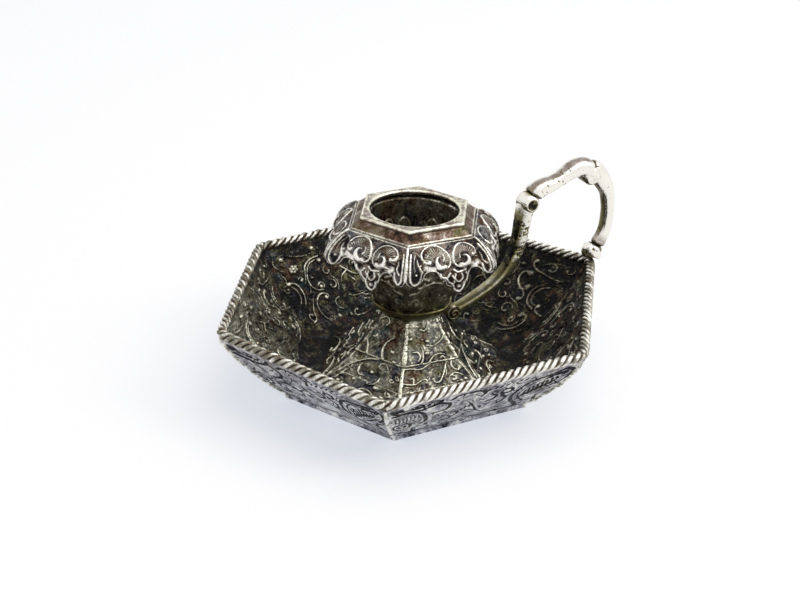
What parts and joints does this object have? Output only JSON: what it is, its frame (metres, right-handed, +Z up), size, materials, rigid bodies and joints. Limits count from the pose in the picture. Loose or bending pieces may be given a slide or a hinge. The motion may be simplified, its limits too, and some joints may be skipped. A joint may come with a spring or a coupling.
{
  "type": "hand candlestick",
  "caption": "Hexagonal dish with a twisted wire rim, a stepped stem with a candle socket under a lift-off scalloped nozzle, and a looped cast handle.",
  "frame": {"origin": "centre of the underside, on the surface that the candlestick stands on", "axes": "+Z up along the stem, +X towards the rim corner that carries the handle"},
  "size_m": [0.1136, 0.0986, 0.0521],
  "materials": {
    "aged_silver": "worn silver sheet with brown and grey tarnish, bright on the raised lines",
    "dark_silver": "heavily tarnished silver, near black in the ground of the ornament",
    "pale_silver": "bright worn silver wire, dark between the strands",
    "olive_silver": "smooth silver with an olive brown tarnish",
    "cast_silver": "polished cast silver with small dark pits"
  },
  "bodies": {
    "candlestick": {"base_plate": "aged_silver", "wall_panel_1": "dark_silver", "wall_panel_2": "dark_silver", "wall_panel_3": "dark_silver", "wall_panel_4": "dark_silver", "wall_panel_5": "dark_silver", "wall_panel_6": "dark_silver", "rim_wire_1": "pale_silver", "rim_wire_2": "pale_silver", "rim_wire_3": "pale_silver", "rim_wire_4": "pale_silver", "rim_wire_5": "pale_silver", "rim_wire_6": "pale_silver", "stem_foot": "aged_silver", "stem_pillar": "aged_silver", "stem_saucer": "olive_silver", "candle_socket": "dark_silver", "handle_arm": "cast_silver", "handle_thumb_rest": "cast_silver", "handle_tail": "cast_silver", "handle_foot": "cast_silver"},
    "nozzle": {"nozzle_canopy": "aged_silver", "nozzle_ring": "pale_silver"}
  },
  "joints": [
    {"name": "nozzle_lift", "type": "slide", "parent": "candlestick", "child": "nozzle", "axis": [0, 0, 1], "range_m": [0, 0.03]}
  ]
}
